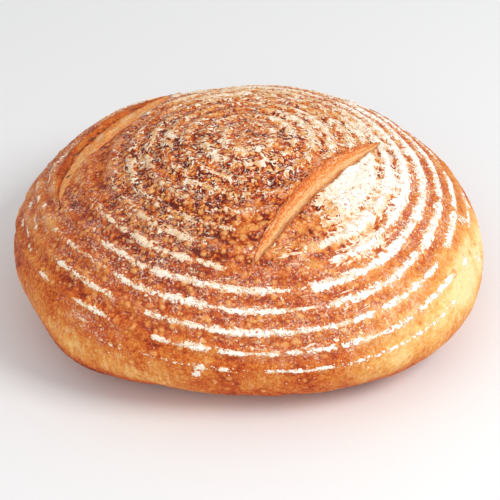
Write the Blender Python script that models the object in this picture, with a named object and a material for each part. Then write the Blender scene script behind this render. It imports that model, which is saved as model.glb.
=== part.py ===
"""A round sourdough loaf, proved in a coiled cane basket, slashed twice and baked on a flat stone.

The loaf is one solid. It has a flat base, a rounded belly a third of the way up, a domed top that
carries the ridges left by the basket's coils, and two slashes that opened in the oven.
Units are metres and +Z is up. The loaf stands on z = 0 with the middle of its bounding box over
the origin, and its front faces -Y. Angles run round the loaf from the front, positive to the right.
"""

import math

import bmesh
import bpy
import numpy as np
from mathutils import Vector

# The body's side profile: its largest radius, the radii of its bends at equal steps from the top to
# the edge of the base, and how far it turns in all
BELLY_RADIUS = 0.125
BEND_RADII = (0.098, 0.204, 0.318, 0.147, 0.0272, 0.0325, 0.092)
PROFILE_TURN = math.radians(173.6)
PROFILE_STEPS = 400

# The outline seen from above: waves round the loaf, as (count, cosine share, sine share)
OUTLINE_WAVES = ((1, -0.051, -0.006), (2, -0.021, 0.014), (3, -0.023, 0.0), (4, -0.018, 0.0))

# Ridges left by the basket's coils, at equal steps over the crust
COIL_PITCH = 0.0105
COIL_COUNT = 13
COIL_RELIEF = 0.0010

# Mesh density
COLUMNS = 64
ROWS_PER_COIL = 4
SIDE_ROWS = 9

# The slashes. The path runs in plan from the ring centre, as the four control points of a curve.
# The crease at the bottom lies between the left lip (0) and the right lip (1). The bulk of the
# opening lies at mid length with a lean of 1, and further along with more. An opened slash pushed
# the coil ridges below it outwards, by "spread", over an arc about "spread_angle"
SLASHES = {
    "right": {
        "path": ((0.0030, -0.0790), (0.0235, -0.0440), (0.0487, -0.0130), (0.0705, 0.0210)),
        "width": 0.0115,
        "depth": 0.0042,
        "crease": 0.70,
        "fullness": 0.55,
        "lean": 1.0,
        "spread": 0.0060,
        "spread_angle": (35.0, 30.0),
        "spread_from": 0.062,
    },
    "left": {
        "path": ((-0.0970, -0.0260), (-0.1100, 0.0200), (-0.0700, 0.0400), (-0.0460, 0.0960)),
        "width": 0.0250,
        "depth": 0.0070,
        "crease": 0.24,
        "fullness": 0.80,
        "lean": 1.3,
        "spread": 0.0250,
        "spread_angle": (-125.0, 45.0),
        "spread_from": 0.078,
    },
}
SPREAD_BLEND = 0.015  # arc over which the push builds up
SLASH_SECTIONS = 19
SLASH_HEADROOM = 0.008  # how far a cutter stands above the crust
SLASH_WALL_FALL = 0.72  # depth half way down a wall, as a share of the crease's
SLASH_TIP_SHARE = 0.05  # what is left of the width and depth at a tip

CRUST_COLOR = (0.52, 0.20, 0.055, 1.0)
CRUST_ROUGHNESS = 0.75
SHARP_EDGE = math.radians(40)


def clear_scene():
    for obj in list(bpy.data.objects):
        bpy.data.objects.remove(obj)


def crust_material():
    material = bpy.data.materials.new("crust")
    material.use_nodes = True
    shader = material.node_tree.nodes["Principled BSDF"]
    shader.inputs["Base Color"].default_value = CRUST_COLOR
    shader.inputs["Roughness"].default_value = CRUST_ROUGHNESS
    shader.inputs["Metallic"].default_value = 0.0
    return material


def running_sum(values):
    """The trapezium sum of values up to each one, starting at 0."""
    return np.concatenate(([0.0], np.cumsum((values[1:] + values[:-1]) / 2)))


def side_profile():
    """Radius and height at equal steps from the top to the edge of the base."""
    along = np.linspace(0, 1, PROFILE_STEPS + 1)
    knots = np.linspace(0, 1, len(BEND_RADII))
    curvature = np.exp(np.interp(along, knots, -np.log(BEND_RADII)))
    turned = running_sum(curvature)
    slope = turned / turned[-1] * PROFILE_TURN
    radius = running_sum(np.cos(slope))
    fallen = running_sum(np.sin(slope))
    scale = BELLY_RADIUS / radius.max()
    return radius * scale, (fallen[-1] - fallen) * scale


RADII, HEIGHTS = side_profile()


def outline_share(angle):
    """How far the outline lies outside a true circle at this angle, as a share of the radius."""
    turn = math.radians(angle)
    return sum(c * math.cos(n * turn) + s * math.sin(n * turn) for n, c, s in OUTLINE_WAVES)


def hump(angle, centre, half_width):
    """A smooth hump round the loaf: 1 at its centre, 0 far from it. Degrees."""
    apart = (angle - centre + 180.0) % 360.0 - 180.0
    return math.exp(-((apart / half_width) ** 2))


def smooth_step(share):
    share = np.clip(share, 0.0, 1.0)
    return share * share * (3 - 2 * share)


class Meridian:
    """The smooth crust along one line from the ring centre down to the base."""

    def __init__(self, angle):
        turn = math.radians(angle)
        self.angle = angle
        self.outward = np.array((math.sin(turn), -math.cos(turn), 0.0))
        share = outline_share(angle)
        self.reach = RADII * (1 + share * np.minimum(RADII / BELLY_RADIUS, 1.0))
        steps = np.hypot(np.diff(self.reach), np.diff(HEIGHTS))
        self.arcs = np.concatenate(([0.0], np.cumsum(steps)))

    def points(self, arcs):
        reach = np.interp(arcs, self.arcs, self.reach)
        height = np.interp(arcs, self.arcs, HEIGHTS)
        return reach[:, None] * self.outward + height[:, None] * np.array((0.0, 0.0, 1.0))

    def normals(self, arcs):
        """Directions square to the crust, in the meridian's own plane."""
        outward = np.interp(arcs, self.arcs, -np.gradient(HEIGHTS, self.arcs))
        upward = np.interp(arcs, self.arcs, np.gradient(self.reach, self.arcs))
        return outward[:, None] * self.outward + upward[:, None] * np.array((0.0, 0.0, 1.0))

    def arc_at_reach(self, reach):
        """Arc length on the dome over a place this far from the ring centre in plan."""
        belly = int(self.reach.argmax())
        return float(np.interp(reach, self.reach[: belly + 1], self.arcs[: belly + 1]))


def coil_arcs(angle, rings):
    """Arc lengths at which coil places lie: opened slashes pushed them outwards."""
    arcs = rings.copy()
    for slash in SLASHES.values():
        beyond = smooth_step((rings - slash["spread_from"]) / SPREAD_BLEND)
        arcs += slash["spread"] * hump(angle, *slash["spread_angle"]) * beyond
    return arcs


def coil_relief(rings):
    """Height of the coil ridges over the smooth crust. They fade out at the top and the belly."""
    inner = np.clip(rings / (2 * COIL_PITCH), 0.0, 1.0)
    outer = np.clip(COIL_COUNT - rings / COIL_PITCH, 0.0, 1.0)
    return COIL_RELIEF / 2 * np.cos(2 * math.pi * rings / COIL_PITCH) * inner * outer


def column_points(angle):
    """One column of the body's mesh: several points to each coil, then wider steps to the base."""
    meridian = Meridian(angle)
    rings = COIL_PITCH / ROWS_PER_COIL * np.arange(1, COIL_COUNT * ROWS_PER_COIL + 1)
    dome = coil_arcs(angle, rings)
    crust = meridian.points(dome) + meridian.normals(dome) * coil_relief(rings)[:, None]
    side = np.linspace(dome[-1], meridian.arcs[-1], SIDE_ROWS + 1)[1:]
    return np.concatenate((crust, meridian.points(side)))


def body_mesh():
    """The loaf before it is slashed: rows of points from the top down, closed by a flat base."""
    mesh = bmesh.new()
    top = mesh.verts.new((0.0, 0.0, HEIGHTS[0]))
    columns = [column_points(360.0 * column / COLUMNS) for column in range(COLUMNS)]
    grid = [[mesh.verts.new(point) for point in column] for column in columns]
    for column, after in zip(grid, grid[1:] + grid[:1]):
        mesh.faces.new((top, column[0], after[0]))
        for row in range(len(column) - 1):
            mesh.faces.new((column[row], column[row + 1], after[row + 1], after[row]))
    mesh.faces.new([column[-1] for column in grid])
    bmesh.ops.recalc_face_normals(mesh, faces=mesh.faces)
    return mesh


def path_place(path, share):
    """A place in plan on the curve through a slash's four control points, and its direction."""
    rest = 1 - share
    weights = (rest**3, 3 * rest**2 * share, 3 * rest * share**2, share**3)
    place = sum(weight * np.array(point) for weight, point in zip(weights, path))
    legs = np.diff(np.array(path), axis=0)
    heading = rest**2 * legs[0] + 2 * rest * share * legs[1] + share**2 * legs[2]
    return place, heading


def crust_frame(place, heading):
    """The crust point over a place in plan, with its outward normal and the sideways direction."""
    angle = math.degrees(math.atan2(place[0], -place[1]))
    meridian = Meridian(angle)
    arc = np.array((meridian.arc_at_reach(float(np.hypot(*place))),))
    centre = Vector(meridian.points(arc)[0])
    up = Vector(meridian.normals(arc)[0]).normalized()
    across = Vector((heading[0], heading[1], 0.0)).cross(up).normalized()
    return centre, up, across


def slash_mesh(slash):
    """The cutter for one slash: a boat shape swept along its path over the crust."""
    mesh = bmesh.new()
    loops = []
    for share in np.linspace(0, 1, SLASH_SECTIONS):
        centre, up, across = crust_frame(*path_place(slash["path"], share))
        swell = max(math.sin(math.pi * share ** slash["lean"]), 0.0) ** slash["fullness"]
        opening = max(swell, SLASH_TIP_SHARE)
        half = slash["width"] / 2 * opening
        depth = slash["depth"] * opening
        crease = half * (2 * slash["crease"] - 1)
        outline = (
            (-half, SLASH_HEADROOM),
            (-half, 0.0),
            ((crease - half) / 2, -SLASH_WALL_FALL * depth),
            (crease, -depth),
            ((crease + half) / 2, -SLASH_WALL_FALL * depth),
            (half, 0.0),
            (half, SLASH_HEADROOM),
        )
        loops.append([mesh.verts.new(centre + across * side + up * rise) for side, rise in outline])
    for before, after in zip(loops, loops[1:]):
        for corner in range(len(before)):
            following = (corner + 1) % len(before)
            mesh.faces.new((before[corner], before[following], after[following], after[corner]))
    mesh.faces.new(loops[0])
    mesh.faces.new(loops[-1])
    bmesh.ops.recalc_face_normals(mesh, faces=mesh.faces)
    return mesh


def add_object(name, mesh):
    data = bpy.data.meshes.new(name)
    mesh.to_mesh(data)
    mesh.free()
    obj = bpy.data.objects.new(name, data)
    bpy.context.scene.collection.objects.link(obj)
    return obj


def middle_in_plan(mesh):
    """The middle of the body's bounding box, seen from above."""
    xs = [vert.co.x for vert in mesh.verts]
    ys = [vert.co.y for vert in mesh.verts]
    return Vector(((min(xs) + max(xs)) / 2, (min(ys) + max(ys)) / 2, 0.0))


def cut_slash(loaf, name, slash, shift):
    """Opens one slash in the loaf with a hidden cutter."""
    cutter = add_object(f"slash_cutter_{name}", slash_mesh(slash))
    cutter.location = shift
    cutter.hide_render = True
    cutter.display_type = "WIRE"
    cut = loaf.modifiers.new(f"slash_{name}", "BOOLEAN")
    cut.operation = "DIFFERENCE"
    cut.object = cutter


def build_loaf():
    mesh = body_mesh()
    shift = -middle_in_plan(mesh)
    bmesh.ops.translate(mesh, vec=shift, verts=mesh.verts)
    loaf = add_object("loaf", mesh)
    loaf.data.materials.append(crust_material())
    loaf.data.shade_smooth()
    loaf.data.set_sharp_from_angle(angle=SHARP_EDGE)
    for name, slash in SLASHES.items():
        cut_slash(loaf, name, slash, shift)


clear_scene()
build_loaf()
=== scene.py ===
import math

import bpy
import numpy as np
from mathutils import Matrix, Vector


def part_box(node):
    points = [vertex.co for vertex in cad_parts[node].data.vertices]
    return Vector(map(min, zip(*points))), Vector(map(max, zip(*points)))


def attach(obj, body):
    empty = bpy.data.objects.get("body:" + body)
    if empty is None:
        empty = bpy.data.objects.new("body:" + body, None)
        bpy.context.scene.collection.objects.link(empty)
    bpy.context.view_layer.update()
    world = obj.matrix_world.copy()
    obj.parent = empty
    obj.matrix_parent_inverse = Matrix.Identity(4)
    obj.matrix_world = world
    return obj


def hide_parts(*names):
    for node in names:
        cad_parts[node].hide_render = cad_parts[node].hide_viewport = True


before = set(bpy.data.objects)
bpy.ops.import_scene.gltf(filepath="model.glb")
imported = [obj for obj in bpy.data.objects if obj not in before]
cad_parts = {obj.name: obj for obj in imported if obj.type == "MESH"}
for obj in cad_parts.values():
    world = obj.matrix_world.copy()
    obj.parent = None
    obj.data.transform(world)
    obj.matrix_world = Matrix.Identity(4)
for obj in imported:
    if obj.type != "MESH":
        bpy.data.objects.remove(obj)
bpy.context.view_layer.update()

loafLow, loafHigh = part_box("loaf")

# Lengths are millimetres and angles are degrees until a mesh is made.
# Angles run round the ring centre from the front, positive to the right.
# "arc" is the way over the crust from the ring centre; "ring" is the same before the slashes opened.
toMetres = 0.001


def smoothStep(value, low=0.0, high=1.0):
    # 0 below low, 1 above high, and a soft S between them
    share = np.clip((value - low) / (high - low), 0, 1)
    return share * share * (3 - 2 * share)


def apart(angle, centre):
    # the signed gap between two angles, from -180 to 180
    return (angle - centre + 180) % 360 - 180


def hump(angle, centre, halfWidth):
    # 1 at the centre, falling off like a bell round the loaf
    return np.exp(-((apart(angle, centre) / halfWidth) ** 2))


def bell(value, centre, halfWidth):
    # 1 at the centre, falling off like a bell to both sides
    return np.exp(-(((value - centre) / halfWidth) ** 2))


def plateau(value, low, high, soft):
    # 1 between low and high, falling to 0 over the soft length outside them
    return smoothStep(value, low - soft, low) * (1 - smoothStep(value, high, high + soft))


def runningSum(values):
    # the area so far under a line through the values, one step apart
    return np.concatenate(([0.0], np.cumsum((values[1:] + values[:-1]) / 2)))


def latticeValue(cells, seed):
    # a fixed random number from -1 to 1 for each whole-number cell
    key = cells[..., 0] * 73856093 ^ cells[..., 1] * 19349663 ^ cells[..., 2] * 83492791
    key = (key + seed * 668265263) & 0xFFFFFFFF
    key = ((key ^ (key >> 15)) * 2246822519) & 0xFFFFFFFF
    key = ((key ^ (key >> 13)) * 3266489917) & 0xFFFFFFFF
    return ((key ^ (key >> 16)) & 0xFFFFFF) / 8388607.5 - 1


def noise(points, size, seed):
    # random values at the corners of cubes of this size, blended smoothly across each cube
    scaled = points / size
    cells = np.floor(scaled).astype(np.int64)
    part = scaled - cells
    part = part * part * (3 - 2 * part)
    total = np.zeros(len(points))
    for corner in range(8):
        step = np.array((corner & 1, corner >> 1 & 1, corner >> 2 & 1))
        weight = np.where(step == 1, part, 1 - part).prod(axis=1)
        total += weight * latticeValue(cells + step, seed)
    return total


def roughNoise(points, size, seed, octaves=3, fall=0.5):
    # noise with finer and weaker noise added to it
    layers = [noise(points, size / 2**n, seed + n) * fall**n for n in range(octaves)]
    return sum(layers) / sum(fall**n for n in range(octaves))


def layered(points, layers):
    # noises added up, each given as amount, size and seed
    return sum(amount * noise(points, size, seed) for amount, size, seed in layers)


form = {
    "bellyRadius": 125.0,
    "bendRadii": (98.0, 204.0, 318.0, 147.0, 27.2, 32.5, 92.0),  # from the top to the base's edge
    "turn": math.radians(173.6),
    "steps": 400,
    "waves": ((1, -0.051, -0.006), (2, -0.021, 0.014), (3, -0.023, 0.0), (4, -0.018, 0.0)),
    "coilPitch": 10.45,
    "coilStart": 2.5,
    "coilCount": 13,
    "coilRelief": 1.25,
    "spreadBlend": 15.0,
    "halvings": 22,  # steps of the search for a ring place
}

# Each path runs in plan from the ring centre. The crease lies between the left lip, 0, and the
# right lip, 1. An opened slash pushed the rings below it outwards by "spread".
slashes = {
    "right": {
        "path": ((3.0, -79.0), (23.5, -44.0), (48.7, -13.0), (70.5, 21.0)),
        "width": 11.5,
        "depth": 4.2,
        "crease": 0.70,
        "fullness": 0.55,
        "walls": (1.9, 1.5),
        "floor": 0.35,
        "lean": 1.0,
        "spread": 6.0,
        "spreadAngle": (35.0, 30.0),
        "spreadFrom": 62.0,
        "lips": (0.7, 0.35),
    },
    "left": {
        "path": ((-98.2, -20.7), (-107.0, 20.8), (-76.9, 46.4), (-39.8, 98.6)),
        "width": 32.3,
        "depth": 3.6,
        "crease": 0.24,
        "fullness": 0.71,
        "walls": (1.4, 0.6),
        "floor": 0.75,
        "lean": 1.77,
        "spread": 25.0,
        "spreadAngle": (-125.0, 45.0),
        "spreadFrom": 78.0,
        "lips": (0.5, 0.1),
    },
}


def sideProfile():
    # Radius and height at equal steps down the side: the bend changes smoothly from knot to knot
    along = np.linspace(0, 1, form["steps"] + 1)
    knots = np.linspace(0, 1, len(form["bendRadii"]))
    bend = np.exp(np.interp(along, knots, -np.log(form["bendRadii"])))
    turned = runningSum(bend)
    slope = turned / turned[-1] * form["turn"]
    radius = runningSum(np.cos(slope))
    fallen = runningSum(np.sin(slope))
    scale = form["bellyRadius"] / radius.max()
    return radius * scale, (fallen[-1] - fallen) * scale


profileRadius, profileHeight = sideProfile()
stepCount = form["steps"]
stepNumbers = np.arange(stepCount + 1.0)


def outlineShare(angle):
    # how far the outline lies outside a circle at this angle, as a share of the radius
    turn = np.radians(angle)
    return sum(c * np.cos(n * turn) + s * np.sin(n * turn) for n, c, s in form["waves"])


# Lengths over the crust at each profile step, for a row of outline shares
shareLevels = np.linspace(-0.16, 0.10, 53)
levelReach = profileRadius * (
    1 + shareLevels[:, None] * np.minimum(profileRadius / form["bellyRadius"], 1)
)
levelSteps = np.hypot(np.diff(levelReach, axis=1), np.diff(profileHeight))
levelArcs = np.pad(np.cumsum(levelSteps, axis=1), ((0, 0), (1, 0)))
levelSpan = 1000.0  # keeps the levels apart in one long table


def levelOf(angle):
    # the outline level below this angle's share, and how far it lies towards the next
    level = (outlineShare(angle) - shareLevels[0]) / (shareLevels[1] - shareLevels[0])
    lower = np.floor(level).astype(int)
    return lower, level - lower


def arcAt(angle, step):
    # the way over the crust to a profile step, read between the two nearest levels
    lower, part = levelOf(angle)
    row = np.minimum(step.astype(int), stepCount - 1)
    ahead = step - row
    first = levelArcs[lower, row] * (1 - ahead) + levelArcs[lower, row + 1] * ahead
    second = levelArcs[lower + 1, row] * (1 - ahead) + levelArcs[lower + 1, row + 1] * ahead
    return first * (1 - part) + second * part


def stepAt(angle, arc):
    # the profile step that lies this way over the crust
    lower, part = levelOf(angle)
    table = (levelArcs + levelSpan * np.arange(len(shareLevels))[:, None]).ravel()
    steps = np.tile(stepNumbers, len(shareLevels))
    first = np.interp(arc + levelSpan * lower, table, steps)
    second = np.interp(arc + levelSpan * (lower + 1), table, steps)
    return first * (1 - part) + second * part


def coilWave(ring):
    # 1 on each ridge that a coil left and -1 midway between two
    return np.cos(2 * np.pi * (ring - form["coilStart"]) / form["coilPitch"])


def unit(vectors):
    # each vector divided by its own length
    return vectors / np.linalg.norm(vectors, axis=-1, keepdims=True)


def smoothPoint(angle, step):
    # a point of the loaf before its rings, blisters and slashes
    turn = np.radians(angle)
    radius = np.interp(step, stepNumbers, profileRadius)
    height = np.interp(step, stepNumbers, profileHeight)
    reach = radius * (1 + outlineShare(angle) * np.minimum(radius / form["bellyRadius"], 1))
    return np.stack((reach * np.sin(turn), -reach * np.cos(turn), height), axis=-1)


def smoothNormal(angle, step):
    # square to a short move down the side and a short move round it
    step = np.clip(step, 3.0, stepCount - 2.0)
    down = smoothPoint(angle, step + 2) - smoothPoint(angle, step - 2)
    aside = smoothPoint(angle + 0.5, step) - smoothPoint(angle - 0.5, step)
    return unit(np.cross(down, aside))


def placeAt(angle, arc):
    # the point and the normal at a single place of the crust
    angle = np.array((angle,), float)
    step = stepAt(angle, np.array((arc,), float))
    return smoothPoint(angle, step)[0], smoothNormal(angle, step)[0]


def spots(places, angle, arc):
    # for each place its amount, falling off like a bell round the loaf and another down it
    for centre, halfWidth, middle, halfLength, amount in places:
        yield amount * hump(angle, centre, halfWidth) * bell(arc, middle, halfLength)


def pushedArc(angle, ring):
    # where a ring place lies once the slashes have pushed it outwards
    arc = ring.copy()
    for slash in slashes.values():
        beyond = smoothStep(ring, slash["spreadFrom"], slash["spreadFrom"] + form["spreadBlend"])
        arc += slash["spread"] * hump(angle, *slash["spreadAngle"]) * beyond
    return arc


def ringAt(angle, arc):
    # the ring place that was pushed to this arc, by halving the span it lies in
    low = np.zeros_like(arc)
    high = arc.copy()
    for _ in range(form["halvings"]):
        middle = (low + high) / 2
        over = pushedArc(angle, middle) > arc
        high = np.where(over, middle, high)
        low = np.where(over, low, middle)
    return (low + high) / 2


# small torn holes in the crease of the left slash: angle, arc, radius, depth
holes = (
    (-94.5, 103.2, 2.0, 1.6),
    (-98.5, 103.9, 1.3, 1.0),
    (-78.7, 107.2, 1.1, 1.4),
    (-111.5, 104.6, 2.2, 1.2),
    (-123.0, 105.4, 2.0, 1.2),
)


def holeShape(points):
    # pits with a round edge and a flat middle, their outline roughened
    depth = np.zeros(len(points))
    ragged = 0.45 * noise(points, 1.9, 38)
    for angle, arc, radius, deep in holes:
        centre, _ = placeAt(angle, arc)
        gap = np.linalg.norm(points - centre, axis=1) / radius
        depth = np.maximum(depth, deep * (1 - smoothStep(gap + ragged, 0.45, 1.15)))
    return depth


def slashPath(slash, count=160):
    # the curve through the four control points, laid on the crust, with its heading and up
    share = np.linspace(0, 1, count)[:, None]
    rest = 1 - share
    knots = np.array(slash["path"])
    weights = (rest**3, 3 * rest**2 * share, 3 * rest * share**2, share**3)
    plan = sum(weight * knot for weight, knot in zip(weights, knots))
    angle = np.degrees(np.arctan2(plan[:, 0], -plan[:, 1]))
    reach = np.hypot(plan[:, 0], plan[:, 1])
    dome = slice(0, int(profileRadius.argmax()))
    lower, part = levelOf(angle)
    steps = np.array([
        np.interp(
            far,
            levelReach[level, dome] * (1 - blend) + levelReach[level + 1, dome] * blend,
            stepNumbers[dome],
        )
        for far, level, blend in zip(reach, lower, part)
    ])
    points = smoothPoint(angle, steps)
    heading = unit(np.gradient(points, axis=0))
    return share[:, 0], points, heading, smoothNormal(angle, steps)


for slash in slashes.values():
    slash["share"], slash["points"], slash["heading"], slash["up"] = slashPath(slash)
    slash["length"] = np.linalg.norm(np.diff(slash["points"], axis=0), axis=1).sum()


def slashPlace(slash, points):
    # Share along the path and signed distance across it, from the nearest place on the path.
    # Points far from the slash keep a large distance
    farAcross, atOnce = 99.0, 4000
    along = np.zeros(len(points))
    across = np.full(len(points), farAcross)
    low = slash["points"].min(axis=0) - slash["width"]
    high = slash["points"].max(axis=0) + slash["width"]
    near = np.flatnonzero(((points > low) & (points < high)).all(axis=1))
    for part in np.array_split(near, max(1, len(near) // atOnce)):
        gaps = points[part][:, None, :] - slash["points"]
        nearest = (gaps**2).sum(axis=2).argmin(axis=1)
        gap = gaps[np.arange(len(part)), nearest]
        heading = slash["heading"][nearest]
        sideways = np.cross(heading, slash["up"][nearest])
        over = (gap * heading).sum(axis=1)  # past an end of the path
        side = (gap * sideways).sum(axis=1)
        along[part] = slash["share"][nearest]
        past = np.where((nearest == 0) | (nearest == len(slash["share"]) - 1), np.abs(over), 0)
        across[part] = np.where(side < 0, -1, 1) * np.hypot(side, past)
    return along, across


def slashOpening(slash, along):
    # how wide the slash stands open here, from 0 at a tip to 1
    swell = np.sin(np.pi * np.clip(along, 0, 1) ** slash["lean"])
    return np.maximum(np.maximum(swell, 0) ** slash["fullness"], 0.02)


# How both slashes are torn; noises are amount, size and seed
tearing = {
    "wander": (0.07, 9.0, 31),  # of the lips, as a share of the width
    "ragged": ((0.55, 3.4, 32), (0.40, 1.7, 33)),
    "strands": (4.5, 1.5, 34),  # length over width, size, seed
    "lumps": ((0.7, 3.1, 35), (0.5, 1.3, 36)),
    "lip": (1.2, 1.6),  # how far outside the edge a lip is highest, and its half width
    "lipNoise": (0.5, 5.0, 37),
}


def slashShape(slash, points):
    # Depth of the cut, height of its lips, the place across it (-1 and 1 at the lips, or more
    # outside), and the share along it. Each wall falls from its lip with its own bend, and the
    # torn floor has lumps and long strands
    along, across = slashPlace(slash, points)
    opening = slashOpening(slash, along)
    half = slash["width"] / 2 * opening
    share, size, seed = tearing["wander"]
    wander = share * slash["width"] * noise(points, size, seed) * opening
    wander += layered(points, tearing["ragged"]) * smoothStep(opening, 0.1, 0.5)
    place = (across + wander) / np.maximum(half, 0.4)
    crease = 2 * slash["crease"] - 1
    outer = place < crease
    fallen = np.where(outer, (place + 1) / (1 + crease), (1 - place) / (1 - crease))
    fallen = np.clip(fallen, 0, 1)
    bend = np.where(outer, *slash["walls"])
    wall = np.where(bend > 1, 1 - (1 - fallen) ** bend, fallen ** (1 / bend))
    depth = slash["depth"] * opening * wall
    drawn, size, seed = tearing["strands"]
    torn = np.stack((across, along * slash["length"] / drawn, 0 * across), axis=1)
    lumps = noise(torn, size, seed)
    for amount, size, seed in tearing["lumps"]:
        lumps += amount * noise(points, size, seed)
    depth += slash["floor"] * lumps * smoothStep(fallen, 0.0, 0.25) * smoothStep(opening, 0.2, 0.6)
    beyond = np.abs(place) - 1
    lip = np.where(place < 0, *slash["lips"])
    lipHeight = lip * bell(beyond * half, *tearing["lip"]) * (beyond > 0)
    lipHeight += lip * (beyond <= 0) * bell(0, *tearing["lip"]) * smoothStep(beyond, -0.3, 0)
    lipHeight *= smoothStep(opening, 0.1, 0.5) * (1 + layered(points, (tearing["lipNoise"],)))
    return depth, lipHeight, place, along


blisters = {
    "size": 4.4,  # spacing of the places where one may be
    "radius": (1.0, 2.2),
    "height": 0.62,
    "seed": 60,
    # angle, arc, length, width, turn: the big ones that show singly
    "large": (
        (7.0, 62.0, 6.0, 3.6, 10.0),
        (14.0, 71.0, 4.5, 3.6, 60.0),
        (-2.0, 70.0, 4.4, 3.8, 0.0),
        (21.0, 78.0, 4.2, 3.6, 0.0),
        (-60.0, 88.0, 4.6, 3.6, 20.0),
        (33.0, 117.0, 4.6, 3.4, 40.0),
        (-24.0, 137.0, 4.4, 3.8, 0.0),
        (-47.0, 66.0, 4.0, 3.4, 30.0),
    ),
}


def blisterShare(angle, ring):
    # how likely a blister is, from 0 to 1
    share = 0.75 * plateau(ring, 62, 118, 14) * (0.45 + 0.55 * hump(angle, -35, 60))
    share += 0.25 * plateau(ring, 20, 70, 20)
    share += 0.20 * hump(angle, 35, 40) * plateau(ring, 85, 125, 10)
    share += 0.10 * plateau(ring, 116, 150, 12)
    return np.clip(share, 0, 1)


def blisterDomes(points, angle, ring):
    # The nearest jittered point of a cubic lattice decides: inside its radius the crust bulges
    # as a round dome. Returns the dome, 0 to 1.
    size = blisters["size"]
    low, high = blisters["radius"]
    cells = np.floor(points / size).astype(np.int64)
    likely = blisterShare(angle, ring)
    dome = np.zeros(len(points))
    for corner in range(27):
        step = np.array((corner % 3, corner // 3 % 3, corner // 9)) - 1
        place = cells + step
        jitter = [latticeValue(place, blisters["seed"] + axis) * 0.42 + 0.5 for axis in range(3)]
        centre = (place + np.stack(jitter, axis=1)) * size
        chance = latticeValue(place, blisters["seed"] + 3) * 0.5 + 0.5
        radius = low + (high - low) * (latticeValue(place, blisters["seed"] + 4) * 0.5 + 0.5)
        gap = np.linalg.norm(points - centre, axis=1)
        here = np.clip(1 - (gap / (radius * 1.2)) ** 2, 0, 1) ** 1.5 * (chance < likely)
        dome = np.maximum(dome, here)
    return dome


def largeBlisters(points):
    # long low domes at their own places
    dome = np.zeros(len(points))
    for angle, arc, length, width, turn in blisters["large"]:
        centre, normal = placeAt(angle, arc)
        aside = np.cross((0.0, 0.0, 1.0), normal)
        aside /= np.linalg.norm(aside)
        down = np.cross(normal, aside)
        turned = math.radians(turn)
        longways = aside * math.cos(turned) + down * math.sin(turned)
        crossways = down * math.cos(turned) - aside * math.sin(turned)
        gap = points - centre
        out = (gap @ longways / (length / 2)) ** 2 + (gap @ crossways / (width / 2)) ** 2
        near = np.abs(gap @ normal) < 4
        dome = np.maximum(dome, 1.2 * np.clip(1 - out / 1.4, 0, 1) ** 1.2 * near)
    return dome


# Flour on the ridges: for each ring, stretches as (from, to, strength, half width of the band)
floured = {
    4: ((-90, -40, 0.36, 2.4), (5, 32, 0.45, 2.2)),
    5: ((-85, -35, 0.40, 2.2), (-15, 8, 0.42, 2.0)),
    6: ((-90, -50, 0.43, 2.2), (-35, -5, 0.44, 2.0), (88, 150, 0.55, 2.4)),
    7: ((-80, -36, 0.41, 1.8), (-34, -22, 0.9, 2.1), (27, 55, 0.80, 2.2), (66, 155, 0.80, 2.8)),
    8: ((-72, -48, 0.36, 1.8), (-45, -36, 0.74, 1.9), (-34, -29, 0.76, 1.7), (-27.5, -21, 0.98, 2.2),
        (-18, -9, 0.76, 1.8), (29, 34, 1.0, 2.6), (33, 57, 0.85, 2.1),
        (57, 110, 1.05, 3.6), (110, 155, 1.0, 2.9)),
    9: ((-53, -33, 0.66, 1.8), (-32, 7, 0.90, 2.2), (7, 18, 0.60, 1.3), (19, 27, 1.1, 2.9),
        (26, 65, 0.98, 2.4), (65, 150, 1.0, 3.1)),
    10: ((-72, -42, 0.42, 1.4), (-40, -27, 0.74, 1.9), (-25, -12, 0.98, 2.3), (-13, -7, 0.64, 1.4),
         (-6, 11, 0.88, 1.9), (11, 20, 0.64, 1.4), (23, 56, 0.94, 2.2),
         (58, 81, 1.0, 2.7), (84, 145, 0.92, 2.4)),
    11: ((-60, -38, 0.58, 1.6), (-28, -13, 0.66, 1.6), (-11, 11, 0.92, 1.9), (14, 34, 0.70, 1.7),
         (36, 58, 0.80, 1.8), (66, 81, 1.0, 2.3), (84, 101, 0.9, 1.8), (108, 130, 0.6, 1.6)),
    12: ((-62, -59, 0.9, 1.1), (-48, -38, 0.88, 1.6), (-25, -20, 0.68, 1.5), (-17.5, -11, 0.98, 2.0),
         (-8, -1, 0.78, 1.6), (1.5, 8, 0.76, 1.6), (10, 14, 0.72, 1.5), (16, 22, 0.74, 1.6),
         (24, 42, 0.66, 1.5), (45, 59, 0.72, 1.6), (80, 97, 0.66, 1.4)),
    13: ((-27, -16, 0.50, 1.1), (-14.5, -10.5, 0.74, 1.7), (-8.5, -5, 0.66, 1.4), (4, 20, 0.86, 1.1),
         (22, 41, 0.52, 1.4), (43, 57, 0.54, 1.6)),
}

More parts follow.
